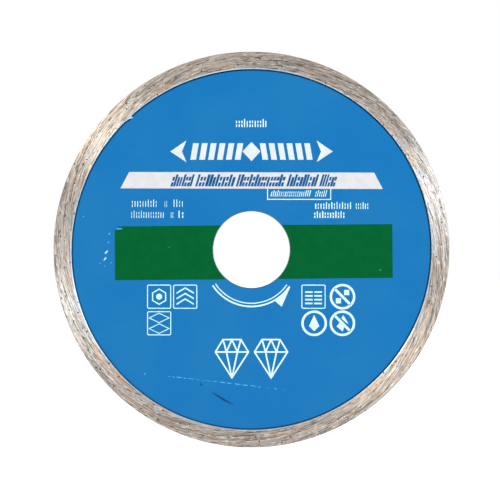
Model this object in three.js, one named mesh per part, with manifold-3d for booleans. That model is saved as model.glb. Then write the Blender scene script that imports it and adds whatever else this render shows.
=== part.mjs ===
// Diamond blade for cutting tiles: a thin steel disc with a continuous sintered rim.
// Units are millimetres. The printed face looks along -Y, +X is to its right and +Z is up.
// The origin is the centre of the bore, midway through the thickness, and Y is the spin axis.
import * as THREE from 'three';
import { mergeVertices } from 'three/addons/utils/BufferGeometryUtils.js';
import Module from 'manifold-3d';

// Driving dimensions
const OUTER_DIAMETER = 115;
const BORE_DIAMETER = 22.23;
const CORE_THICKNESS = 1.2;
const RIM_THICKNESS = 2.0;
const RIM_HEIGHT = 5; // the part of the rim that shows, measured inwards from the cutting edge
const RIM_CHAMFER = 0.15;
const BORE_CHAMFER = 0.1;

// The core's edge is notched, and the rim is pressed and sintered around the notches.
const NOTCHES = 30;
const NOTCH_ROOT_RADIUS = 53.2;
const NOTCH_TIP_RADIUS = 54.4;
const NOTCH_FLANK = 0.2; // share of a notch's pitch that each sloping flank takes

// Lacquer and ink films
const LACQUER_THICKNESS = 0.05;
const INK_THICKNESS = 0.02;
const LACQUER_EDGE_GAP = 0.15; // bare steel between the lacquer and the rim
const BORE_EDGE_GAP = 0.02; // bare steel between the lacquer and the bore's chamfer

// Print on the front, placed from the bore's centre: u is to the right and v is up. The band and
// the banner are printed a little askew.
const BAND = { width: 80.65, height: 15.6, centreU: 0.64, centreV: -0.75, tiltDegrees: 0.48 };
const BANNER = { topHalfWidth: 35.6, bottomHalfWidth: 38.1, lowV: 17.7, highV: 22.45, tiltDegrees: -0.15 };
const SUBTITLE = { leftU: 4.5, rightU: 23.1, lowV: 14.5, stroke: 0.26 };
const ARROW = {
  centreV: -3.1,
  lineRadius: 12.5,
  lineStroke: 0.29,
  shaftRadius: 13.42,
  shaftStroke: 0.46,
  startDegrees: 213,
  headDegrees: 300,
  tipDegrees: 325.5,
  barbRadius: 16.1,
  barbDegrees: 303,
};
const FRAME_SIZE = 7;
const FRAME_STROKE = 0.27;
const FRAME_CORNER = 0.45;
const RING_RADIUS = 3.72;
const RING_STROKE = 0.68;
const MARK_HIGH_V = -13.68;
const MARK_LOW_V = -21.4;
const GEM = { offsetU: 5.68, girdleV: -29.74, halfWidth: 4.8, tableHalfWidth: 2.6, crown: 3.6, pavilion: 7.5 };
const GEM_STROKE = 0.44;

// Facets around a full circle
const DISC_STEPS = 4 * NOTCHES;
const BORE_STEPS = 96;
const RING_STEPS = 32;
const ARC_STEPS = 24;

const outerRadius = OUTER_DIAMETER / 2;
const boreRadius = BORE_DIAMETER / 2;
const rimInnerRadius = outerRadius - RIM_HEIGHT;
const coreFace = CORE_THICKNESS / 2;
const rimFace = RIM_THICKNESS / 2;
const lacquerFace = coreFace + LACQUER_THICKNESS;
const inkFace = lacquerFace + INK_THICKNESS;
const lacquerInnerRadius = boreRadius + BORE_CHAMFER + BORE_EDGE_GAP;
const lacquerOuterRadius = rimInnerRadius - LACQUER_EDGE_GAP;

const wasm = await Module();
wasm.setup();

function toSolid(geometry) {
  const bare = geometry.clone();
  bare.deleteAttribute('normal');
  bare.deleteAttribute('uv');
  const merged = mergeVertices(bare, 1e-5);
  return new wasm.Manifold(
    new wasm.Mesh({
      numProp: 3,
      vertProperties: new Float32Array(merged.attributes.position.array),
      triVerts: new Uint32Array(merged.index.array),
    }),
  );
}

function toGeometry(solid) {
  const mesh = solid.getMesh();
  const geometry = new THREE.BufferGeometry();
  geometry.setAttribute('position', new THREE.BufferAttribute(new Float32Array(mesh.vertProperties), 3));
  geometry.setIndex(new THREE.BufferAttribute(new Uint32Array(mesh.triVerts), 1));
  return geometry;
}

function cut(geometry, tool) {
  return toGeometry(toSolid(geometry).subtract(toSolid(tool)));
}

function polar(radius, degrees) {
  const angle = THREE.MathUtils.degToRad(degrees);
  return new THREE.Vector2(radius * Math.cos(angle), radius * Math.sin(angle));
}

function arc(radius, startDegrees, endDegrees, steps) {
  const points = [];
  for (let step = 0; step <= steps; step += 1) {
    points.push(polar(radius, startDegrees + ((endDegrees - startDegrees) * step) / steps));
  }
  return points;
}

function circle(radius, steps) {
  return arc(radius, 0, 360, steps).slice(0, -1);
}

function outline(points, ...holes) {
  const shape = new THREE.Shape(points);
  for (const hole of holes) {
    shape.holes.push(new THREE.Path(hole));
  }
  return shape;
}

// A flat plate between two heights above the blade's middle plane
function plate(shape, low, high) {
  const geometry = new THREE.ExtrudeGeometry(shape, { depth: high - low, bevelEnabled: false });
  geometry.translate(0, 0, low);
  return geometry;
}

function film(shape) {
  return plate(shape, lacquerFace, inkFace);
}

// A profile of [radius, height] pairs turned about the spin axis
function turned(profile, steps) {
  const points = profile.map(([radius, height]) => new THREE.Vector2(radius, height));
  return new THREE.LatheGeometry(points, steps).rotateX(Math.PI / 2);
}

function coreGeometry() {
  const pitch = 360 / NOTCHES;
  const edge = [];
  for (let notch = 0; notch < NOTCHES; notch += 1) {
    const start = notch * pitch;
    const half = pitch / 2;
    edge.push(polar(NOTCH_TIP_RADIUS, start));
    edge.push(polar(NOTCH_TIP_RADIUS, start + half - NOTCH_FLANK * pitch));
    edge.push(polar(NOTCH_ROOT_RADIUS, start + half));
    edge.push(polar(NOTCH_ROOT_RADIUS, start + pitch - NOTCH_FLANK * pitch));
  }
  const reach = 1; // how far the cutter stands out of each face
  const mouth = boreRadius + BORE_CHAMFER + reach;
  const cutter = turned(
    [
      [0, -coreFace - reach],
      [mouth, -coreFace - reach],
      [boreRadius, -coreFace + BORE_CHAMFER],
      [boreRadius, coreFace - BORE_CHAMFER],
      [mouth, coreFace + reach],
      [0, coreFace + reach],
    ],
    BORE_STEPS,
  );
  return cut(plate(outline(edge), -coreFace, coreFace), cutter);
}

function rimGeometry(core) {
  const profile = [
    [rimInnerRadius, -rimFace + RIM_CHAMFER],
    [rimInnerRadius + RIM_CHAMFER, -rimFace],
    [outerRadius - RIM_CHAMFER, -rimFace],
    [outerRadius, -rimFace + RIM_CHAMFER],
    [outerRadius, rimFace - RIM_CHAMFER],
    [outerRadius - RIM_CHAMFER, rimFace],
    [rimInnerRadius + RIM_CHAMFER, rimFace],
    [rimInnerRadius, rimFace - RIM_CHAMFER],
  ];
  return cut(turned([...profile, profile[0]], DISC_STEPS), core);
}

function lacquerShape() {
  return outline(circle(lacquerOuterRadius, DISC_STEPS), circle(lacquerInnerRadius, BORE_STEPS));
}

// Half of the colour band: side is 1 on the right of the bore and -1 on its left.
function bandGeometry(side) {
  const end = side * (BAND.width / 2) + BAND.centreU;
  const high = BAND.centreV + BAND.height / 2;
  const low = BAND.centreV - BAND.height / 2;
  const highDegrees = THREE.MathUtils.radToDeg(Math.asin(high / lacquerInnerRadius));
  const lowDegrees = THREE.MathUtils.radToDeg(Math.asin(low / lacquerInnerRadius));
  const edge = arc(lacquerInnerRadius, highDegrees, lowDegrees, ARC_STEPS);
  const points = edge.map((point) => new THREE.Vector2(side * point.x, point.y));
  points.push(new THREE.Vector2(end, low), new THREE.Vector2(end, high));
  return film(outline(points)).rotateZ(THREE.MathUtils.degToRad(BAND.tiltDegrees));
}

// The title banner, with the open frame for a second line hanging from its lower edge
function bannerGeometry() {
  const points = [
    [-BANNER.bottomHalfWidth, BANNER.lowV],
    [SUBTITLE.leftU, BANNER.lowV],
    [SUBTITLE.leftU, SUBTITLE.lowV],
    [SUBTITLE.rightU, SUBTITLE.lowV],
    [SUBTITLE.rightU, BANNER.lowV],
    [BANNER.bottomHalfWidth, BANNER.lowV],
    [BANNER.topHalfWidth, BANNER.highV],
    [-BANNER.topHalfWidth, BANNER.highV],
  ];
  const window = [
    [SUBTITLE.leftU + SUBTITLE.stroke, BANNER.lowV],
    [SUBTITLE.rightU - SUBTITLE.stroke, BANNER.lowV],
    [SUBTITLE.rightU - SUBTITLE.stroke, SUBTITLE.lowV + SUBTITLE.stroke],
    [SUBTITLE.leftU + SUBTITLE.stroke, SUBTITLE.lowV + SUBTITLE.stroke],
  ];
  const vectors = (pairs) => pairs.map(([u, v]) => new THREE.Vector2(u, v));
  const shape = outline(vectors(points), vectors(window));
  return film(shape).rotateZ(THREE.MathUtils.degToRad(BANNER.tiltDegrees));
}

// The thin arc that runs along the inside of the rotation arrow
function arrowLineShape() {
  const inner = ARROW.lineRadius - ARROW.lineStroke / 2;
  const outer = ARROW.lineRadius + ARROW.lineStroke / 2;
  return outline([
    ...arc(outer, ARROW.startDegrees, ARROW.tipDegrees, ARC_STEPS),
    ...arc(inner, ARROW.tipDegrees, ARROW.startDegrees, ARC_STEPS),
  ]);
}

// The rotation arrow: a curved shaft that ends in a one-sided head
function arrowShape() {
  const inner = ARROW.shaftRadius - ARROW.shaftStroke / 2;
  const outer = ARROW.shaftRadius + ARROW.shaftStroke / 2;
  return outline([
    ...arc(outer, ARROW.startDegrees, ARROW.headDegrees, ARC_STEPS),
    polar(ARROW.barbRadius, ARROW.barbDegrees),
    polar(outer, ARROW.tipDegrees),
    ...arc(inner, ARROW.tipDegrees, ARROW.startDegrees, ARC_STEPS),
  ]);
}

function roundedSquare(size, corner) {
  const reach = size / 2 - corner;
  const points = [];
  for (let quarter = 0; quarter < 4; quarter += 1) {
    const centre = polar(reach * Math.SQRT2, 45 + 90 * quarter);
    for (const point of arc(corner, 90 * quarter, 90 * quarter + 90, 4)) {
      points.push(point.add(centre));
    }
  }
  return points;
}

function squareFrameShape() {
  const inside = FRAME_SIZE - 2 * FRAME_STROKE;
  return outline(roundedSquare(FRAME_SIZE, FRAME_CORNER), roundedSquare(inside, FRAME_CORNER / 2));
}

function ringFrameShape() {
  return outline(circle(RING_RADIUS, RING_STEPS), circle(RING_RADIUS - RING_STROKE, RING_STEPS));
}

// Moves each side of a convex outline inwards by the same distance.
function inset(points, distance) {
  const area = THREE.ShapeUtils.area(points);
  const turn = Math.sign(area);
  const sides = points.map((point, index) => {
    const direction = points[(index + 1) % points.length].clone().sub(point).normalize();
    const inwards = new THREE.Vector2(-direction.y, direction.x).multiplyScalar(turn * distance);
    return { start: point.clone().add(inwards), direction };
  });
  return sides.map((side, index) => {
    const before = sides[(index + sides.length - 1) % sides.length];
    const across = side.start.clone().sub(before.start);
    const along = across.cross(side.direction) / before.direction.cross(side.direction);
    return before.start.clone().addScaledVector(before.direction, along);
  });
}

// A plain brilliant-cut gem in outline, its girdle on v = 0: each facet is a window cut in the film.
function gemGeometry() {
  const at = (u, v) => new THREE.Vector2(u, v);
  const left = at(-GEM.halfWidth, 0);
  const right = at(GEM.halfWidth, 0);
  const tableLeft = at(-GEM.tableHalfWidth, GEM.crown);
  const tableRight = at(GEM.tableHalfWidth, GEM.crown);
  const waistLeft = at(-GEM.halfWidth / 3, 0);
  const waistRight = at(GEM.halfWidth / 3, 0);
  const top = at(0, GEM.crown);
  const culet = at(0, -GEM.pavilion);
  const facets = [
    [left, waistLeft, tableLeft],
    [tableLeft, waistLeft, top],
    [waistLeft, waistRight, top],
    [top, waistRight, tableRight],
    [waistRight, right, tableRight],
    [left, culet, waistLeft],
    [waistLeft, culet, waistRight],
    [waistRight, culet, right],
  ];
  let geometry = film(outline(inset([left, culet, right, tableRight, tableLeft], -GEM_STROKE / 2)));
  for (const facet of facets) {
    const window = outline(inset(facet, GEM_STROKE / 2));
    geometry = cut(geometry, plate(window, coreFace, rimFace));
  }
  return geometry;
}

const blade = new THREE.Group();
blade.rotation.x = Math.PI / 2;

function add(name, geometry, look) {
  const mesh = new THREE.Mesh(geometry, new THREE.MeshStandardMaterial(look));
  mesh.name = name;
  blade.add(mesh);
}

// A white ink film, moved from the bore's centre to its place in the print
function addPrint(name, geometry, u = 0, v = 0) {
  add(name, geometry.translate(u, v, 0), WHITE_INK);
}

const STEEL = { color: 0xb4b2ae, roughness: 0.35, metalness: 0.9 };
const SINTERED = { color: 0xbdb2a8, roughness: 0.5, metalness: 0.8 };
const BLUE_LACQUER = { color: 0x247bc1, roughness: 0.35, metalness: 0 };
const GREEN_INK = { color: 0x0a6b2f, roughness: 0.4, metalness: 0 };
const WHITE_INK = { color: 0xe8eaee, roughness: 0.45, metalness: 0 };

const core = coreGeometry();
add('steel_core', core, STEEL);
add('diamond_rim', rimGeometry(core), SINTERED);
add('front_lacquer', plate(lacquerShape(), coreFace, lacquerFace), BLUE_LACQUER);
add('back_lacquer', plate(lacquerShape(), -lacquerFace, -coreFace), BLUE_LACQUER);
add('green_band_left', bandGeometry(-1), GREEN_INK);
add('green_band_right', bandGeometry(1), GREEN_INK);

addPrint('title_banner', bannerGeometry());
addPrint('rotation_arrow', film(arrowShape()), 0, ARROW.centreV);
addPrint('rotation_arrow_line', film(arrowLineShape()), 0, ARROW.centreV);

const squareFrames = [
  ['square_mark_left_outer', -26.83, MARK_HIGH_V],
  ['square_mark_left_inner', -19.25, MARK_HIGH_V],
  ['square_mark_left_lower', -26.83, MARK_LOW_V],
  ['square_mark_right', 18.02, MARK_HIGH_V],
];
for (const [name, u, v] of squareFrames) {
  addPrint(name, film(squareFrameShape()), u, v);
}

const ringFrames = [
  ['ring_mark_upper', 26.45, MARK_HIGH_V],
  ['ring_mark_lower_inner', 18.2, MARK_LOW_V],
  ['ring_mark_lower_outer', 26.4, MARK_LOW_V],
];
for (const [name, u, v] of ringFrames) {
  addPrint(name, film(ringFrameShape()), u, v);
}

addPrint('gem_mark_left', gemGeometry(), -GEM.offsetU, GEM.girdleV);
addPrint('gem_mark_right', gemGeometry(), GEM.offsetU, GEM.girdleV);

export default blade;
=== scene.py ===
"""A 115 mm diamond blade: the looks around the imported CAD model.

The blade stands on its rim with its axis along Y. Its printed face looks along -Y. In the functions
below a place on the face is given as u (to the right), v (up) and w (out of the printed face).
"""
import math

import bmesh
import bpy
import numpy as np
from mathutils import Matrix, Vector
from mathutils.geometry import tessellate_polygon


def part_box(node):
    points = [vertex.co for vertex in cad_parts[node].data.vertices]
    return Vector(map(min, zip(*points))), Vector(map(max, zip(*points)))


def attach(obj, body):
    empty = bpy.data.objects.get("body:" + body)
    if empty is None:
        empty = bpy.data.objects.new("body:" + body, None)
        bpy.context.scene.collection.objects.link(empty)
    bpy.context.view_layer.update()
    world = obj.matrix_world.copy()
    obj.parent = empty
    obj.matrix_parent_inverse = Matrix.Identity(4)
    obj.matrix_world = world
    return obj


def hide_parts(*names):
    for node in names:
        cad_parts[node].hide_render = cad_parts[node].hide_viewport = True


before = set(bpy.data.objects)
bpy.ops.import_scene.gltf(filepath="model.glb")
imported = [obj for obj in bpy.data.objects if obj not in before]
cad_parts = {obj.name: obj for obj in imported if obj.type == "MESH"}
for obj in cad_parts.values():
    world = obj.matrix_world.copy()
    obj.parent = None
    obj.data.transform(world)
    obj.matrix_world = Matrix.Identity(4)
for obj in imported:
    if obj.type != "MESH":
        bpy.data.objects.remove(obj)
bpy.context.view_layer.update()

MM = 0.001
TURN = 2 * math.pi


# ---------------------------------------------------------------- sizes, from the frame

def reach(node):
    """The smallest and largest distance of a CAD node's points from the blade's axis."""
    points = np.array([v.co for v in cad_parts[node].data.vertices])
    radii = np.hypot(points[:, 0], points[:, 2])
    return radii.min(), radii.max()


def layer(node):
    """The lowest and highest w of a CAD node."""
    low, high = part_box(node)
    return -high.y, -low.y


BORE_RADIUS, KEY_TIP_RADIUS = reach("steel_core")
RIM_RADIUS = reach("diamond_rim")[1]
PAINT_BORE_RADIUS, PAINT_EDGE_RADIUS = reach("front_lacquer")
CORE_FACE = layer("steel_core")[1]
PAINT_FACE = layer("front_lacquer")[1]
INK_FACE = layer("title_banner")[1]
RIM_FACE = layer("diamond_rim")[1]

KEYS = 30
KEY_DEPTH = 1.2 * MM
BORE_CHAMFER = 0.1 * MM
SEAM_GAP = 0.08 * MM
BAND_TO_BORE = 0.06 * MM  # how far the green ink stays off the lacquer's edge at the bore
STREAK_PITCH = 6.05 * MM  # the streaks repeat across the rim after this, which is over its height
QUARTER_TURN = 0.25
THIN_FILM = 0.008 * MM  # chips, rubs and bare strokes stand this proud of what they lie on
TAB_TOP = 17.6 * MM  # below this the title panel is its tab, with the thin strokes' ink


# ---------------------------------------------------------------- node trees

class Look:
    """A material and the short calls that build its node tree."""

    def __init__(self, name):
        self.material = bpy.data.materials.new(name)
        self.material.use_nodes = True
        self.tree = self.material.node_tree
        self.shader = self.tree.nodes["Principled BSDF"]

    def put(self, value, socket):
        """Put a number, a colour or another node's output into a socket."""
        if isinstance(value, bpy.types.NodeSocket):
            self.tree.links.new(value, socket)
        elif socket.type == "RGBA" and len(value) == 3:
            socket.default_value = (*value, 1)
        else:
            socket.default_value = value

    def set(self, **inputs):
        """Set the shader's own sockets; an underscore stands for a space."""
        for name, value in inputs.items():
            self.put(value, self.shader.inputs[name.replace("_", " ")])

    def node(self, kind, settings, **inputs):
        """Add a node with these settings, and put the inputs into its sockets."""
        made = self.tree.nodes.new("ShaderNode" + kind)
        for name, value in settings.items():
            setattr(made, name, value)
        for name, value in inputs.items():
            self.put(value, made.inputs[name.replace("_", " ")])
        return made

    def math(self, operation, *values):
        made = self.node("Math", {"operation": operation})
        for value, socket in zip(values, made.inputs):
            self.put(value, socket)
        return made.outputs[0]

    def vector(self, x, y, z):
        return self.node("CombineXYZ", {}, X=x, Y=y, Z=z).outputs[0]

    def noise(self, vector, scale, detail=2.0, **more):
        size = {"noise_dimensions": "4D" if "W" in more else "3D"}
        made = self.node("TexNoise", size, Vector=vector, Scale=scale, Detail=detail, **more)
        return made.outputs[0]

    def cells(self, scale):
        return self.node("TexVoronoi", {}, Vector=self.place(), Scale=scale)

    def holes(self, scale, share, size):
        """Round spots, 1 inside and 0 outside, in the middle of cells that are 1/scale metres wide.

        share of the cells stay empty. size is a spot's radius, as a share of its cell."""
        cells = self.cells(scale)
        draw = self.node("SeparateXYZ", {}, Vector=cells.outputs["Color"]).outputs[0]
        spot = self.span(cells.outputs["Distance"], size, size + 0.045, 1.0, 0.0)
        return self.math("MULTIPLY", spot, self.span(draw, share, share + 0.02))

    def span(self, value, low, high, first=0.0, last=1.0):
        """Turn the range low to high into the range first to last, and hold it there."""
        made = self.node("MapRange", {"interpolation_type": "SMOOTHSTEP"}, Value=value,
                         From_Min=low, From_Max=high, To_Min=first, To_Max=last)
        return made.outputs[0]

    def mix(self, share, colour_a, colour_b):
        made = self.node("Mix", {"data_type": "RGBA"})
        self.put(share, made.inputs[0])
        self.put(colour_a, made.inputs[6])
        self.put(colour_b, made.inputs[7])
        return made.outputs[2]

    def bump(self, height, distance, strength):
        return self.node("Bump", {}, Height=height, Distance=distance, Strength=strength).outputs[0]

    def place(self):
        """The surface point in the row frame, in metres."""
        return self.node("TexCoord", {}).outputs["Object"]

    def attribute(self, name):
        return self.node("Attribute", {"attribute_name": name}).outputs["Fac"]

    def polar(self):
        """The surface point's angle round the axis, and its distance from it plus its place along
        it. The sum runs across a face and on across an edge, so streaks follow both."""
        x, y, z = self.node("SeparateXYZ", {}, Vector=self.place()).outputs
        radius = self.math("SQRT", self.math("ADD", self.math("MULTIPLY", x, x),
                                             self.math("MULTIPLY", z, z)))
        return self.math("ARCTAN2", z, x), self.math("ADD", y, radius)

    def streaks(self, angle, radius, length, width, detail, drop=5, lift=0.0):
        """Noise drawn out round the axis into streaks of one length and width, without a seam.

        drop is how many streak pitches the pattern runs inwards in one turn, a whole number, and
        another lift gives another pattern."""
        round_scale = RIM_RADIUS / length
        across_scale = STREAK_PITCH / (TURN * width)
        turns = self.math("ADD", self.math("MULTIPLY", radius, TURN / STREAK_PITCH),
                          self.math("MULTIPLY", angle, drop))
        vector = self.vector(
            self.math("MULTIPLY", self.math("COSINE", angle), round_scale),
            self.math("MULTIPLY", self.math("SINE", angle), round_scale),
            self.math("ADD", self.math("MULTIPLY", self.math("COSINE", turns), across_scale), lift),
        )
        w = self.math("MULTIPLY", self.math("SINE", turns), across_scale)
        return self.noise(vector, 1.0, detail, W=w)


# ---------------------------------------------------------------- materials

def rim_look():
    """Sintered bronze and nickel: ground streaks round the rim, pits, warm stains by the seam,
    painted glints on the streaks and a painted highlight along the inner edge.
    """
    look = Look("sintered_bronze")
    angle, radius = look.polar()
    relief = look.attribute("relief")
    depth = look.attribute("rim_depth")
    fine = look.streaks(angle, radius, 7 * MM, 0.28 * MM, 3.0)
    long = look.streaks(angle, radius, 16 * MM, 0.42 * MM, 1.0)
    dash = look.streaks(angle, radius, 1.7 * MM, 0.26 * MM, 0.0)
    tint = look.streaks(angle, radius, 7 * MM, 0.34 * MM, 1.0, lift=3.7)
    score = look.streaks(angle, radius, 18 * MM, 0.50 * MM, 0.0, lift=8.1)
    line = look.math("ABSOLUTE", look.math("SUBTRACT", score, 0.5))
    grain = look.noise(look.place(), 3800.0, 2.0)
    cloud = look.noise(look.place(), 140.0, 2.0)

    metal = look.mix(look.span(fine, 0.37, 0.63), (0.28, 0.222, 0.186), (0.70, 0.570, 0.485))
    metal = look.mix(look.span(long, 0.42, 0.62, 0.0, 0.45), metal, (0.74, 0.635, 0.56))
    metal = look.mix(look.span(relief, -1.8, -0.2, 0.35, 0.0), metal, (0.17, 0.135, 0.115))
    metal = look.mix(look.span(grain, 0.35, 0.65, 0.14, 0.0), metal, (0.16, 0.13, 0.11))
    metal = look.mix(look.span(line, 0.006, 0.024, 0.75, 0.0), metal, (0.11, 0.083, 0.067))
    metal = look.mix(look.span(dash, 0.27, 0.35, 0.80, 0.0), metal, (0.08, 0.062, 0.052))
    # painted glints: the dashes' bright tail is near-white metal, standing in for catch-lights on
    # the streaks
    metal = look.mix(look.span(dash, 0.65, 0.72, 0.0, 0.6), metal, (0.95, 0.88, 0.83))

    near_seam = look.span(depth, 0.1, 0.7, 1.0, 0.1)
    warm = look.math("MULTIPLY", look.span(tint, 0.49, 0.62),
                     look.span(cloud, 0.42, 0.60, 0.0, 0.70))
    metal = look.mix(look.math("MULTIPLY", warm, near_seam), metal, (0.72, 0.40, 0.22))
    cool = look.math("MULTIPLY", look.span(tint, 0.36, 0.45, 0.55, 0.0), near_seam)
    metal = look.mix(cool, metal, (0.52, 0.60, 0.68))
    metal = look.mix(look.span(depth, 0.93, 1.0, 0.0, 0.35), metal, (0.26, 0.22, 0.19))
    # painted highlight: a pale, cool line along the rim's inner edge, where its chamfer would catch
    # the light
    metal = look.mix(look.span(depth, 0.03, 0.06, 0.85, 0.0), metal, (0.78, 0.90, 0.96))

    pit = look.math("MAXIMUM", look.holes(780.0, 0.66, 0.18), look.holes(1250.0, 0.80, 0.16))
    metal = look.mix(look.math("MULTIPLY", pit, 0.95), metal, (0.05, 0.038, 0.030))

    height = look.math("ADD", look.math("MULTIPLY", fine, 0.8), look.math("MULTIPLY", grain, 0.35))
    height = look.math("SUBTRACT", height, look.math("MULTIPLY", pit, 1.2))
    look.set(Base_Color=metal, Metallic=0.85, Roughness=look.span(grain, 0.3, 0.7, 0.36, 0.48),
             Anisotropic=0.85, Anisotropic_Rotation=QUARTER_TURN,
             Tangent=look.node("Tangent", {"direction_type": "RADIAL", "axis": "Y"}).outputs[0],
             Normal=look.bump(height, 0.02 * MM, 0.5))
    return look.material


def grit_look():
    """Synthetic diamond grit: dark, glassy and a little yellow-brown."""
    look = Look("diamond_grit")
    tone = look.noise(look.place(), 900.0, 2.0)
    brown = look.mix(look.span(tone, 0.35, 0.65), (0.040, 0.030, 0.024), (0.14, 0.105, 0.08))
    look.set(Base_Color=brown, Roughness=look.span(tone, 0.3, 0.7, 0.12, 0.35),
             IOR=2.2, Specular_IOR_Level=0.5,
             Normal=look.bump(look.noise(look.place(), 9000.0, 3.0), 0.01 * MM, 0.4))
    return look.material


def steel_look():
    """Turned tool steel, with fine rings from the lathe and a little dulling."""
    look = Look("core_steel")
    angle, radius = look.polar()
    rings = look.streaks(angle, radius, 12 * MM, 0.06 * MM, 3.0, drop=0)
    dull = look.noise(look.place(), 300.0, 3.0)
    grey = look.mix(look.span(rings, 0.35, 0.65), (0.17, 0.17, 0.175), (0.31, 0.31, 0.32))
    look.set(Base_Color=grey, Metallic=1.0, Roughness=look.span(dull, 0.3, 0.7, 0.42, 0.56),
             Normal=look.bump(rings, 0.004 * MM, 0.5))
    return look.material


def lacquer_look():
    """Blue stoving lacquer: orange peel, faint cloudiness, and painted shade along its edges:
    darker beside the rim's step, most towards the upper right, and a little at the bore.
    """
    look = Look("blue_lacquer")
    edge = look.attribute("edge")
    cloud = look.noise(look.place(), 55.0, 3.0)
    fleck = look.noise(look.place(), 1400.0, 2.0)
    blue = look.mix(look.span(cloud, 0.38, 0.66), (0.0064, 0.117, 0.305), (0.0088, 0.124, 0.300))
    blue = look.mix(look.span(fleck, 0.42, 0.60, 0.10, 0.0), blue, (0.004, 0.09, 0.26))
    # painted shade: the edge attribute darkens the lacquer beside the rim's step and at the bore
    blue = look.mix(look.span(edge, 0.0, 0.55, 0.0, 0.98), blue, (0.0006, 0.016, 0.045))
    peel = look.noise(look.place(), 1100.0, 1.0)
    dust = look.noise(look.place(), 6500.0, 1.0)
    height = look.math("ADD", peel, look.math("MULTIPLY", look.span(dust, 0.68, 0.78), 0.25))
    look.set(Base_Color=blue, Roughness=look.span(cloud, 0.3, 0.7, 0.30, 0.36),
             Specular_IOR_Level=0.07, Normal=look.bump(height, 0.006 * MM, 0.35))
    return look.material


def ink_look(name, full, thin, roughness, specular=0.10):
    """Screen-printed ink with the screen's mesh marks: its colours at full cover and where thin."""
    look = Look(name)
    cover = look.noise(look.place(), 420.0, 4.0)
    weave = look.cells(5200.0).outputs["Distance"]
    look.set(Base_Color=look.mix(look.span(cover, 0.36, 0.60), thin, full),
             Roughness=look.span(cover, 0.3, 0.7, roughness, roughness + 0.10),
             Specular_IOR_Level=specular,
             Normal=look.bump(look.math("ADD", weave, cover), 0.004 * MM, 0.4))
    return look.material


RIM = rim_look()
GRIT = grit_look()
STEEL = steel_look()
LACQUER = lacquer_look()
WHITE = ink_look("white_ink", (0.527, 0.490, 0.498), (0.490, 0.460, 0.471), 0.42)
BOLD_WHITE = ink_look("heavy_white_ink", (0.540, 0.540, 0.532), (0.502, 0.512, 0.505), 0.42)
FINE_WHITE = ink_look("thin_white_ink", (0.532, 0.675, 0.665), (0.492, 0.640, 0.635), 0.42)
FAINT_WHITE = ink_look("faint_white_ink", (0.435, 0.650, 0.665), (0.400, 0.615, 0.635), 0.42)
GREEN = ink_look("green_ink", (0.0004, 0.078, 0.0182), (0.0003, 0.071, 0.0174), 0.40, 0.03)
BARE_BLUE = ink_look("bare_blue_strokes", (0.004, 0.075, 0.190), (0.002, 0.060, 0.165), 0.40)
PRIMER = ink_look("bared_primer", (0.42, 0.60, 0.72), (0.14, 0.36, 0.58), 0.5)
RUBBED = ink_look("rubbed_lacquer", (0.090, 0.420, 0.700), (0.035, 0.270, 0.550), 0.5)
RUBBED_GREEN = ink_look("rubbed_green_ink", (0.030, 0.200, 0.135), (0.022, 0.165, 0.105), 0.5)
SCORED = ink_look("scored_lacquer", (0.0005, 0.055, 0.165), (0.0003, 0.035, 0.115), 0.4)


# ---------------------------------------------------------------- meshes

def face_points(u, v, w):
    """Arrays of u, v and w as points in the row frame."""
    return np.stack([u, -w, v], axis=-1).reshape(-1, 3)


def make_piece(name, points, faces, material, replaces=(), smooth=True):
    """A mesh piece on the blade's one body, which stands for the CAD nodes in replaces."""
    mesh = bpy.data.meshes.new(name)
    mesh.from_pydata(points, [], faces)
    mesh.validate()
    mesh.polygons.foreach_set("use_smooth", [smooth] * len(mesh.polygons))
    mesh.materials.append(material)
    piece = bpy.data.objects.new(name, mesh)
    bpy.context.scene.collection.objects.link(piece)
    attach(piece, "root")
    if replaces:
        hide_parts(*replaces)
    return piece


def turned(name, radii, heights, material, slot, replaces):
    """A closed ring: row j of radii and heights is the section's point j at each angle."""
    rows, steps = radii.shape
    angles = np.linspace(0, TURN, steps, endpoint=False)
    points = face_points(radii * np.cos(angles), radii * np.sin(angles), heights)
    row, step = np.meshgrid(np.arange(rows), np.arange(steps), indexing="ij")
    next_row, next_step = (row + 1) % rows, (step + 1) % steps
    corners = [(row, step), (row, next_step), (next_row, next_step), (next_row, step)]
    faces = np.stack([r * steps + s for r, s in corners], axis=-1).reshape(-1, 4)
    return make_piece(name, points, faces.tolist(), material, replaces)


def add_attribute(piece, name, values):
    data = piece.data.attributes.new(name, "FLOAT", "POINT").data
    data.foreach_set("value", values.astype(np.float32).ravel())


def sharpen(piece, degrees):
    """Keep the edges that turn more than this hard, and the others soft."""
    piece.data.set_sharp_from_angle(angle=math.radians(degrees))


# ---------------------------------------------------------------- core, paint and rim

def seam(angle):
    """How far the seam of rim and core runs out of round at an angle."""
    oval = 0.13 * np.cos(2 * (angle - math.radians(57)))
    waves = (0.03 * np.cos(3 * angle + 1) + 0.025 * np.cos(7 * angle + 2)
             + 0.012 * np.cos(19 * angle))
    from_nick = np.degrees(angle) - 133
    return (oval + waves - 0.30 * np.exp(-(from_nick / 1.3) ** 2)) * MM


def key_edge(angle):
    """The core's notched edge, which the rim is sintered around."""
    wave = np.cos(KEYS * angle) * 3
    return KEY_TIP_RADIUS - KEY_DEPTH * (1 - np.clip(wave, -1, 1)) / 2


def section(angles, stations):
    """Stations of (radius, w), each a number or an array over the angles, as two grids."""
    radii = np.array([np.broadcast_to(r, angles.shape) for r, _ in stations])
    heights = np.array([np.broadcast_to(w, angles.shape) for _, w in stations])
    return radii, heights


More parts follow.
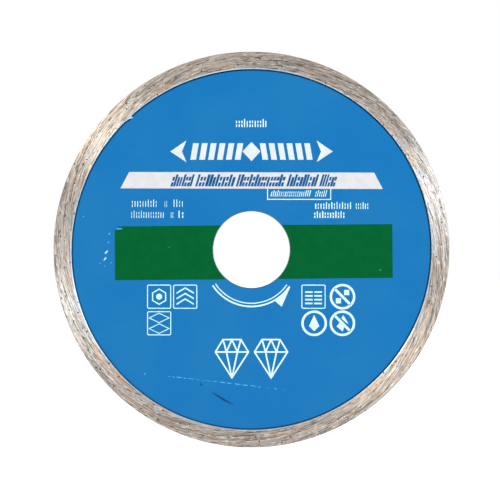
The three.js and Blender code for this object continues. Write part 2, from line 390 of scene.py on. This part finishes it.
def add_core():
    """The notched steel disc, with a chamfer at each end of the bore."""
    angles = np.linspace(0, TURN, 720, endpoint=False)
    edge = key_edge(angles)
    low = CORE_FACE - BORE_CHAMFER
    half = [(BORE_RADIUS, 0), (BORE_RADIUS, low * 0.9), (BORE_RADIUS + 0.01 * MM, low)]
    half += [(BORE_RADIUS + BORE_CHAMFER - 0.01 * MM, CORE_FACE - 0.01 * MM)]
    half += [(BORE_RADIUS + BORE_CHAMFER + 0.02 * MM, CORE_FACE), (edge - 0.1 * MM, CORE_FACE)]
    half += [(edge, CORE_FACE - 0.05 * MM)]
    back = [(r, -w) for r, w in half[:0:-1]]
    piece = turned("core_disc", *section(angles, half + back), STEEL, "core_steel", ["steel_core"])
    sharpen(piece, 30)


def add_paint(name, node, side):
    """One coat of lacquer, with a rounded bead at its edges; side is 1 in front and -1 behind."""
    angles = np.linspace(0, TURN, 1080, endpoint=False)
    inner = PAINT_BORE_RADIUS + 0.02 * MM * np.cos(5 * angles)
    outer = PAINT_EDGE_RADIUS + seam(angles) - SEAM_GAP / 2
    bead = 0.05 * MM
    base = CORE_FACE + 0.001 * MM
    inward = [(inner, base), (inner, PAINT_FACE - 0.02 * MM), (inner + bead / 2, PAINT_FACE)]
    across = [(inner + (outer - inner) * t, PAINT_FACE) for t in np.linspace(0.01, 0.985, 14)]
    outward = [(outer - back * MM, PAINT_FACE) for back in (0.6, 0.45, 0.3, 0.15)]
    outward += [(outer - bead / 2, PAINT_FACE)]
    outward += [(outer, PAINT_FACE - 0.02 * MM), (outer, base)]
    radii, heights = section(angles, inward + across + outward)
    if side < 0:
        radii, heights = radii[::-1], -heights[::-1]
    piece = turned(name, radii, heights, LACQUER, "blue_lacquer", [node])
    # painted shade in the edge attribute: the lacquer darkens within 0.6 mm of the rim's step, most
    # towards the upper right where the step shades it, and faintly within 0.3 mm of the bore
    rim_fade, bore_fade = 0.6 * MM, 0.3 * MM
    rim_step_shade = np.clip(1 - (outer - radii) / rim_fade, 0, 1) * (0.82 + 0.18 * np.cos(angles - 0.9))
    bore_shade = 0.2 * np.clip(1 - (radii - inner) / bore_fade, 0, 1)
    add_attribute(piece, "edge", np.maximum(rim_step_shade, bore_shade))
    sharpen(piece, 40)


def drawn_noise(steps, rows, row_pitch, length, width, slope, seed):
    """Noise that closes on itself round the axis, drawn out into sloping streaks."""
    rng = np.random.default_rng(seed)
    along = np.fft.fftfreq(steps, d=TURN * RIM_RADIUS / steps)[:, None]
    across = np.fft.fftfreq(rows, d=row_pitch)[None, :]
    with_streak = along * math.cos(slope) - across * math.sin(slope)
    over_streak = along * math.sin(slope) + across * math.cos(slope)
    kernel = np.exp(-2 * math.pi ** 2 * ((with_streak * length) ** 2 + (over_streak * width) ** 2))
    field = np.fft.ifft2(np.fft.fft2(rng.standard_normal((steps, rows))) * kernel).real
    return (field / field.std()).T


def add_rim():
    """The sintered ring, ground in streaks that run slowly inwards round the face."""
    steps = 960
    angles = np.linspace(0, TURN, steps, endpoint=False)
    inner = PAINT_EDGE_RADIUS + seam(angles) + SEAM_GAP / 2
    groove = key_edge(angles) + 0.02 * MM
    face = RIM_FACE - 0.05 * MM  # the relief and the grit fill the rest, up to the CAD's size
    outer = RIM_RADIUS - 0.03 * MM
    bevel = 0.20 * MM
    front_rows, edge_rows = 40, 16
    shoulder = (0.20 + 0.05 * np.cos(3 * angles + 1) + 0.03 * np.cos(11 * angles)) * MM
    shares = np.linspace(0, 1, front_rows)
    front = [(inner + shoulder + (outer - bevel - inner - shoulder) * t, face) for t in shares]
    edge = [(outer, face - bevel - (face - bevel) * 2 * t) for t in np.linspace(0, 1, edge_rows)]
    back = [(r, -w) for r, w in front[::-1]]
    wall = [(inner, CORE_FACE + 0.01 * MM), (inner, 0.66 * MM),
            (inner + 0.02 * MM, face - 0.26 * MM)]
    wall_back = [(r, -w) for r, w in wall[::-1]]
    hidden = [(groove, -CORE_FACE - 0.01 * MM), (groove, CORE_FACE + 0.01 * MM)]
    stations = wall + front + edge + back + wall_back + hidden
    radii, heights = section(angles, stations)

    rows = len(stations)
    pitch = (outer - PAINT_EDGE_RADIUS) / front_rows
    slope = math.radians(5)
    relief = (0.75 * drawn_noise(steps, rows, pitch, 4.0 * MM, 0.09 * MM, slope, 11)
              + 0.45 * drawn_noise(steps, rows, pitch, 0.5 * MM, 0.10 * MM, slope, 12)
              + 0.55 * drawn_noise(steps, rows, pitch, 10 * MM, 0.4 * MM, slope, 13))
    relief = np.clip(relief, -3, 3)
    first, last = len(wall), len(wall) + len(front)
    turn_back = last + len(edge)
    relief[:first] = 0
    relief[turn_back + len(back):] = 0
    size = 0.010 * MM
    heights[first:last] += size * relief[first:last]
    radii[last:turn_back] += size * relief[last:turn_back]
    heights[turn_back:turn_back + len(back)] -= size * relief[turn_back:turn_back + len(back)]
    piece = turned("sintered_rim", radii, heights, RIM, "rim_matrix", ["diamond_rim"])
    add_attribute(piece, "relief", relief)
    add_attribute(piece, "rim_depth", (radii - inner) / (outer - inner))
    sharpen(piece, 30)


def crystal(rng):
    """A blocky grain: an octahedron with its corners cut, and its points moved a little."""
    points = np.array([(x, y, z) for a in (-1, 1) for b in (-0.42, 0.42) for x, y, z in
                       ((a, b, 0), (a, 0, b), (b, a, 0), (0, a, b), (b, 0, a), (0, b, a))], float)
    points += rng.normal(0, 0.07, points.shape)
    turn, _ = np.linalg.qr(rng.standard_normal((3, 3)))
    return points @ turn


def hull(points):
    """The convex hull of points, as points and triangles."""
    shell = bmesh.new()
    for point in points:
        shell.verts.new(point)
    bmesh.ops.convex_hull(shell, input=shell.verts)
    inside = [v for v in shell.verts if not v.link_faces]
    bmesh.ops.delete(shell, geom=inside, context="VERTS")
    bmesh.ops.recalc_face_normals(shell, faces=shell.faces)
    shell.verts.index_update()
    corners = [tuple(v.co) for v in shell.verts]
    faces = [[v.index for v in f.verts] for f in shell.faces]
    shell.free()
    return np.array(corners), faces


def add_grit():
    """Diamond grains that stand out of the faces and the cutting edge, within the rim's size."""
    rng = np.random.default_rng(31)
    points, faces, count = [], [], 0
    for kind, number in (("front", 150), ("back", 130), ("edge", 90)):
        for _ in range(number):
            angle = rng.uniform(0, TURN)
            grain, grain_faces = hull(crystal(rng) * rng.uniform(0.10, 0.19) * MM)
            if kind == "edge":
                radius = RIM_RADIUS - np.abs(grain).max() - rng.uniform(0.01, 0.05) * MM
                w = rng.uniform(-0.7, 0.7) * MM
            else:
                radius = rng.uniform(PAINT_EDGE_RADIUS + 0.7 * MM, RIM_RADIUS - 0.5 * MM)
                w = RIM_FACE - np.abs(grain[:, 1]).max() - rng.uniform(0.0, 0.02) * MM
                if kind == "back":
                    w = -w
            centre = np.array([radius * math.cos(angle), -w, radius * math.sin(angle)])
            points.append(grain + centre)
            faces += [[i + count for i in face] for face in grain_faces]
            count += len(grain)
    make_piece("diamond_grit", np.concatenate(points), faces, GRIT, smooth=False)


# ---------------------------------------------------------------- ink films

def area(loop):
    """The area inside a loop, above 0 where the loop runs anticlockwise."""
    u, v = loop[:, 0], loop[:, 1]
    return 0.5 * float(np.sum(u * np.roll(v, -1) - v * np.roll(u, -1)))


def front_outlines(node):
    """The outlines of a CAD film's front face, as lists of (u, v), with the outer one first."""
    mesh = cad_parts[node].data
    spots = [(round(v.co.x, 7), round(v.co.z, 7)) for v in mesh.vertices]
    edges = set()
    for face in mesh.polygons:
        if face.normal.y < -0.9:
            ring = [spots[i] for i in face.vertices]
            edges.update(zip(ring, ring[1:] + ring[:1]))
    following = {a: b for a, b in edges if (b, a) not in edges}
    loops = []
    while following:
        start = spot = min(following)
        loop = []
        while spot in following:
            loop.append(spot)
            spot = following.pop(spot)
        assert spot == start, node
        loops.append(np.array(loop))
    return sorted(loops, key=lambda loop: -abs(area(loop)))


def facing(loop, sign):
    """The loop, turned anticlockwise for sign 1 and clockwise for sign -1."""
    loop = np.asarray(loop, float)
    return loop if area(loop) * sign > 0 else loop[::-1]


def softened(loop, rng, step=0.22 * MM, rough=0.012 * MM):
    """The loop with close points: round where it turns little, and ragged as printed ink is."""
    before, after = loop - np.roll(loop, 1, axis=0), np.roll(loop, -1, axis=0) - loop
    turn = np.abs(np.angle(np.exp(1j * (np.arctan2(after[:, 1], after[:, 0])
                                        - np.arctan2(before[:, 1], before[:, 0])))))
    round_point = turn < math.radians(28)
    points = []
    for i in range(len(loop)):
        j = (i + 1) % len(loop)
        chord = after[i]
        length = math.hypot(*chord)
        through = loop[j] - loop[i - 1], loop[(j + 1) % len(loop)] - loop[i]
        ends = [t / math.hypot(*t) * length if soft else chord
                for t, soft in zip(through, (round_point[i], round_point[j]))]
        for t in np.arange(0, 1, 1 / math.ceil(length / step)):
            h10, h01, h11 = t * (1 - t) ** 2, t * t * (3 - 2 * t), t * t * (t - 1)
            points.append(loop[i] + h01 * chord + h10 * ends[0] + h11 * ends[1])
    return np.array(points) + rng.normal(0, rough, (len(points), 2))


def add_film(name, shapes, material, replaces=(), low=PAINT_FACE, high=INK_FACE):
    """A film of ink. Each shape is an outline followed by the outlines of its holes."""
    rng = np.random.default_rng(len(shapes) + sum(map(ord, name)))
    points, faces, count = [], [], 0
    for outlines in shapes:
        loops = [softened(facing(loop, -1 if i else 1), rng) for i, loop in enumerate(outlines)]
        flat = np.concatenate(loops)
        total = len(flat)
        for triangle in tessellate_polygon([[Vector((*p, 0)) for p in loop] for loop in loops]):
            a, b, c = triangle
            if area(flat[[a, b, c]]) < 0:
                b, c = c, b
            faces.append([count + a, count + b, count + c])
            faces.append([count + total + a, count + total + c, count + total + b])
        start = 0
        for loop in loops:
            ring = np.arange(start, start + len(loop))
            for a, b in zip(ring, np.roll(ring, -1)):
                faces.append([count + total + a, count + total + b, count + b, count + a])
            start += len(loop)
        for w in (high, low):
            points.append(face_points(flat[:, 0], flat[:, 1], np.full(total, w)))
        count += 2 * total
    faces = [[int(i) for i in face] for face in faces]
    return make_piece(name, np.concatenate(points), faces, material, replaces, smooth=False)


def metres(loop):
    """An outline in millimetres as an array in metres."""
    return np.asarray(loop, float) * MM


def bar(u, v, width, height, lean=0.0):
    """A bar from its low left corner, in millimetres; lean is how far its top is to the right."""
    return [(u, v), (u + width, v), (u + width + lean, v + height), (u + lean, v + height)]


def inset(stroke, margin):
    """A bar made narrower and lower by a margin on each side, in millimetres."""
    (a, b), (c, _), (d, e), (f, _) = stroke
    lean = margin * (f - a) / (e - b)
    return [(a + margin + lean, b + margin), (c - margin + lean, b + margin),
            (d - margin - lean, e - margin), (f + margin - lean, e - margin)]


def thick_line(start, end, width):
    """The outline of a straight line of this width."""
    (a, b), (c, d) = start, end
    length = math.hypot(c - a, d - b)
    x, y = (b - d) / length * width / 2, (c - a) / length * width / 2
    return [(a - x, b - y), (c - x, d - y), (c + x, d + y), (a + x, b + y)]


def many_sided(sides, radius, turn=0.0, v=0.0, stretch=1.0):
    """A regular outline round (0, v), with its height stretched."""
    angles = [TURN * i / sides + turn for i in range(sides)]
    return [(radius * math.cos(a), v + stretch * radius * math.sin(a)) for a in angles]


def word_bars(words, low, high, rng, letter, fill, lean=0.0):
    """Upright strokes in the place of words: no letters, only their rhythm and weight.

    words are (left, right) pairs, letter is the width of a letter, and fill is the share of it
    that its two strokes cover. A stroke is whole, or in two with a gap between."""
    bars = []
    height = high - low
    for left, right in words:
        letters = max(1, round((right - left) / letter))
        pitch = (right - left) / (2 * letters)
        for stroke in range(2 * letters):
            u = left + pitch * stroke
            wide = pitch * fill * rng.uniform(0.85, 1.15)
            whole = rng.random() < 0.6
            spans = [(0, rng.choice((0.78, 1.0)))] if whole else [(0, 0.34), (0.48, 0.80)]
            for foot, head in spans:
                bars.append(bar(u + lean * foot * height, low + foot * height, wide,
                                (head - foot) * height, lean * (head - foot) * height))
    return bars


SLANTED_BAR = thick_line((-2.31, 2.31), (2.31, -2.31), 0.75)

# The plain figures in the marks' frames: shapes of an outline and its holes, in millimetres
# from the frame's centre.
MARKS = {
    "square_mark_left_outer": [
        [many_sided(6, 2.4, math.pi / 6), many_sided(6, 2.0, math.pi / 6)],
        [many_sided(24, 0.88)],
    ],
    "square_mark_left_inner": [
        [[(-2.5, v - 1.1), (0, v + 0.4), (2.5, v - 1.1),
          (2.5, v - 0.63), (0, v + 0.87), (-2.5, v - 0.63)]] for v in (-1.3, 0.3, 1.9)
    ],
    "square_mark_left_lower": [
        [many_sided(4, 3.17, 0, v, 0.48), many_sided(4, 2.62, 0, v, 0.48)] for v in (1.55, -1.55)
    ],
    "square_mark_right": [
        [bar(u, v, 2.2, 0.48)] for u in (-2.45, 0.25) for v in (-2.2, -1.1, 0.0, 1.1)
    ],
    "ring_mark_upper": [
        [SLANTED_BAR],
        [bar(0.45, 0.45, 1.5, 1.5)],
        [bar(-1.95, -1.95, 1.5, 1.5)],
    ],
    "ring_mark_lower_inner": [
        [[(0, 2.4), (1.5, -0.8), (0, -2.3), (-1.5, -0.8)]],
    ],
    "ring_mark_lower_outer": [
        [[(0.25, 2.4), (1.9, -0.35), (0.55, 0.65), (-0.3, 1.45)]],
        [SLANTED_BAR],
        [[(-0.75, 0.2), (0.5, -1.05), (0.1, -2.4), (-1.7, -0.9)]],
    ],
}


def add_marks():
    """The square and round marks: each frame from the CAD, with a plain figure inside it."""
    for node, figures in MARKS.items():
        low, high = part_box(node)
        u, v = (low.x + high.x) / 2, (low.z + high.z) / 2
        shapes = [front_outlines(node)]
        shapes += [[metres(loop) + (u, v) for loop in figure] for figure in figures]
        ink = FINE_WHITE if node.startswith("ring") else FAINT_WHITE
        add_film(node + "_print", shapes, ink, [node])


def add_banner():
    """The title panel, with strokes of bare lacquer where a title would be, and its tab."""
    rng = np.random.default_rng(5)
    outlines = front_outlines("title_banner")
    title = [(-23.6, -17.3), (-16.4, -5.2), (-4.6, 9.3), (10.1, 18.9), (19.6, 24.3)]
    title_strokes = word_bars(title, 18.35, 21.85, rng, 1.75, 0.80, 0.3)
    outlines += [metres(stroke) for stroke in title_strokes]
    shapes = [outlines]
    for stroke in word_bars([(5.5, 17.2), (18.4, 21.9)], 15.4, 17.25, rng, 1.15, 0.40, 0.25):
        shapes.append([metres(stroke)])
    panel = add_film("title_panel", shapes, WHITE, ["title_banner"])
    panel.data.materials.append(FINE_WHITE)
    for face in panel.data.polygons:
        face.material_index = int(face.center.z < TAB_TOP)
    strokes = [[metres(inset(stroke, 0.05))] for stroke in title_strokes]
    add_film("title_strokes", strokes, BARE_BLUE,
             low=PAINT_FACE, high=PAINT_FACE + THIN_FILM)


def add_word_lines():
    """The lines of small print: each its words, its lowest and highest v, and its fill."""
    rng = np.random.default_rng(7)
    lines = {
        "size_line_upper": ([(-34.7, -27.0), (-25.2, -24.2), (-22.6, -19.4)], 12.4, 14.55, 0.27),
        "size_line_lower": ([(-34.9, -25.0), (-23.4, -22.4), (-21.2, -19.1)], 9.2, 11.3, 0.29),
        "rating_line_upper": ([(18.5, 29.4), (30.3, 34.3)], 11.8, 13.8, 0.37),
        "rating_line_lower": ([(18.2, 27.4)], 9.2, 11.15, 0.46),
        "code_line": ([(-4.5, 4.8)], 35.6, 37.9, 0.43),
    }
    for name, (words, low, high, fill) in lines.items():
        strokes = word_bars(words, low, high, rng, 1.5, fill)
        add_film(name, [[metres(stroke)] for stroke in strokes], FINE_WHITE)


def add_ornament():
    """A plain ornament above the title: a lozenge and slanted blocks between two points."""
    low, high, middle = 26.1, 30.9, 28.5
    shapes = [[[(0, low - 0.4), (2.6, middle), (0, high + 0.4), (-2.6, middle)]]]
    for side in (-1, 1):
        for i in range(6):
            start, wide, lean = 3.2 + 2.58 * i, 1.66, 0.8
            block = bar(start, low, wide, high - low, -lean)
            shapes.append([[(side * u, v) for u, v in block]])
        shapes.append([[(side * 18.9, low - 0.7), (side * 23.6, middle), (side * 18.9, high + 0.8),
                        (side * 20.2, middle)]])
    add_film("ornament", [[metres(loop) for loop in shape] for shape in shapes],
             BOLD_WHITE)


def add_plain_films():
    """The films whose CAD outline is all there is to them."""
    for name, node in (("turning_arrow", "rotation_arrow"), ("turning_line", "rotation_arrow_line"),
                       ("gem_print_left", "gem_mark_left"), ("gem_print_right", "gem_mark_right")):
        add_film(name, [front_outlines(node)], FINE_WHITE, [node])


def clear_of_bore(outline):
    """The outline with its bore side moved out a little, so that the lacquer's bead shows there."""
    radii = np.hypot(outline[:, 0], outline[:, 1])
    near = radii < PAINT_BORE_RADIUS + 0.02 * MM
    factor = np.where(near, (PAINT_BORE_RADIUS + BAND_TO_BORE) / radii, 1)
    return outline * factor[:, None]


def add_bands():
    """The green stripe, with the scraped corner at its left end."""
    right = clear_of_bore(front_outlines("green_band_right")[0])
    add_film("green_stripe_right", [[right]], GREEN, ["green_band_right"])
    left = clear_of_bore(facing(front_outlines("green_band_left")[0], 1))
    corner = int(np.argmin(left[:, 0] - left[:, 1]))
    u, v = left[corner]
    nibble = [(1.2, 0.0), (0.8, -0.3), (2.2, -0.5), (2.3, -0.85), (0.9, -0.9), (0.02, -1.15)]
    left = np.concatenate([left[:corner], metres(nibble) + (u, v), left[corner + 1:]])
    add_film("green_stripe_left", [[left]], GREEN, ["green_band_left"])


# The broken scratch below the gems, in millimetres. A stretch is the u where it ends, its
# shortest and longest dash, and their width and gap.
SCRATCH_START = (-24.3, -36.85)
SCRATCH_RISE = -0.117  # v gained along u
DASH_SLANT = -6.7  # degrees
SCRATCH_STRETCHES = [(-18.6, 0.6, 2.0, 0.20, 0.2), (-9.9, 0.8, 2.2, 0.13, 0.2),
                     (0.2, 1.4, 2.8, 0.21, 0.15), (10.6, 0.6, 1.2, 0.18, 1.5)]


def fleck(u, v, long, wide, degrees, rng):
    """A small ragged fleck, in millimetres."""
    angles = np.arange(0, TURN, TURN / 9)
    radii = rng.uniform(0.75, 1.1, 9) / 2
    x, y = long * radii * np.cos(angles), wide * radii * np.sin(angles)
    turn = math.radians(degrees)
    return np.stack([u + x * math.cos(turn) - y * math.sin(turn),
                     v + x * math.sin(turn) + y * math.cos(turn)], axis=1)


def add_wear():
    """Chips, rubs, a broken scratch and a score: (u, v, length, width, slant in degrees) each."""
    rng = np.random.default_rng(17)

    def flecks(name, places, look, face):
        shapes = [[metres(fleck(*place, rng))] for place in places]
        add_film(name, shapes, look, low=face, high=face + THIN_FILM)

    chips = [(-42.2, -0.8, 1.5, 0.48, 46), (-42.5, -2.65, 1.3, 0.52, 52),
             (-34.85, 38.3, 1.3, 0.32, 30)]
    flecks("lacquer_chips", chips, PRIMER, PAINT_FACE)

    scratch = []
    u = SCRATCH_START[0]
    for end, shortest, longest, wide, gap in SCRATCH_STRETCHES:
        while u < end:
            long = rng.uniform(shortest, longest)
            v = SCRATCH_START[1] + SCRATCH_RISE * (u - SCRATCH_START[0])
            scratch.append((u + long / 2, v, long, wide, DASH_SLANT))
            u += long + gap
    rubbed = [(-41.3, 4.64, 0.7, 0.46, 70), (-41.6, 2.1, 0.55, 0.5, 20),
              (-44.0, -3.95, 0.4, 0.3, 0), (-42.6, -4.8, 0.4, 0.35, 0),
              (-40.8, -3.8, 0.4, 0.36, 0), (-48.8, 9.6, 0.5, 0.3, 80),
              (-38.35, 6.05, 2.1, 0.24, 2), (-30.9, -36.1, 0.5, 0.35, 60)]
    flecks("lacquer_rubs", rubbed + scratch, RUBBED, PAINT_FACE)

    on_green = [(37.4, -5.9, 0.55, 0.45, 0), (-30.5, -2.0, 0.26, 0.2, 30),
                (-24.0, 0.65, 0.6, 0.2, 5)]
    flecks("ink_rubs", on_green, RUBBED_GREEN, INK_FACE)

    score = metres([(0, 0), (1.7, -1.35), (4.1, -2.85), (7.1, -4.0), (4.3, -2.25), (2.0, -0.9)])
    spot = metres(fleck(-14.6, -39.2, 1.1, 0.55, -40, rng))
    add_film("lacquer_scores", [[score + (-11.6 * MM, -41.4 * MM)], [spot]],
             SCORED, low=PAINT_FACE, high=PAINT_FACE + THIN_FILM)


def add_object():
    add_core()
    add_paint("front_paint", "front_lacquer", 1)
    add_paint("back_paint", "back_lacquer", -1)
    add_rim()
    add_grit()
    add_banner()
    add_word_lines()
    add_ornament()
    add_marks()
    add_plain_films()
    add_bands()
    add_wear()


# ---------------------------------------------------------------- stage, lights and camera

CAMERA_PLACE = (-0.00043, -0.5453, -0.00012)
LAMP_DISTANCE = 3.2
LAMP_TILT = 50  # degrees from the blade's axis, on the printed side


def emission_look(name, colour, strength):
    """A matt stage surface that glows in its own colour where strength is over 0."""
    look = Look(name)
    look.set(Base_Color=colour, Roughness=1.0, Specular_IOR_Level=0.0,
             Emission_Color=colour, Emission_Strength=strength)
    return look.material


def add_stage():
    """A white studio: a glowing floor that shows no shadow, and a dark card behind the camera that
    keeps a white veil off the lacquer."""
    scene = bpy.context.scene
    scene.view_settings.view_transform = "Standard"
    scene.view_settings.look = "None"
    world = bpy.data.worlds.new("studio")
    scene.world = world
    world.use_nodes = True
    background = world.node_tree.nodes["Background"]
    background.inputs["Color"].default_value = (1, 1, 1, 1)
    background.inputs["Strength"].default_value = 1.0

    bpy.ops.mesh.primitive_circle_add(vertices=96, radius=3.0, fill_type="NGON",
                                      location=(0, 0, -RIM_RADIUS))
    floor = bpy.context.object
    floor.name = "floor"
    floor.data.materials.append(emission_look("floor", (0.6, 0.6, 0.6), 1.2))

    bpy.ops.mesh.primitive_circle_add(vertices=64, radius=4.4, fill_type="NGON",
                                      location=(0, -3.0, 0), rotation=(math.pi / 2, 0, 0))
    card = bpy.context.object
    card.name = "dark_card"
    card.data.materials.append(emission_look("dark_card", (0.01, 0.01, 0.01), 0.0))
    card.visible_camera = False


def add_light(name, azimuth, size, power, colour):
    """A round area light aimed at the blade. Azimuth is in the blade's plane, from its right."""
    lamp = bpy.data.lights.new(name, "AREA")
    lamp.shape = "DISK"
    lamp.size = size
    lamp.energy = power
    lamp.color = colour
    light = bpy.data.objects.new(name, lamp)
    bpy.context.scene.collection.objects.link(light)
    turn, lean = math.radians(azimuth), math.radians(LAMP_TILT)
    direction = Vector((math.cos(turn) * math.sin(lean), -math.cos(lean),
                        math.sin(turn) * math.sin(lean)))
    light.location = direction * LAMP_DISTANCE
    light.rotation_euler = (-direction).to_track_quat("-Z", "Y").to_euler()
    light.visible_camera = False


def add_lights():
    add_light("cool_key", 18, 0.80, 88.0, (0.69, 0.86, 1.0))
    add_light("neutral_fill", 141, 0.70, 58.0, (0.96, 1.0, 0.90))


def add_camera():
    data = bpy.data.cameras.new("camera")
    data.lens = 135
    data.sensor_width = 36
    camera = bpy.data.objects.new("camera", data)
    camera.location = CAMERA_PLACE
    camera.rotation_euler = (math.pi / 2, 0, 0)
    bpy.context.scene.collection.objects.link(camera)
    bpy.context.scene.camera = camera


add_camera()
add_stage()
add_lights()
add_object()
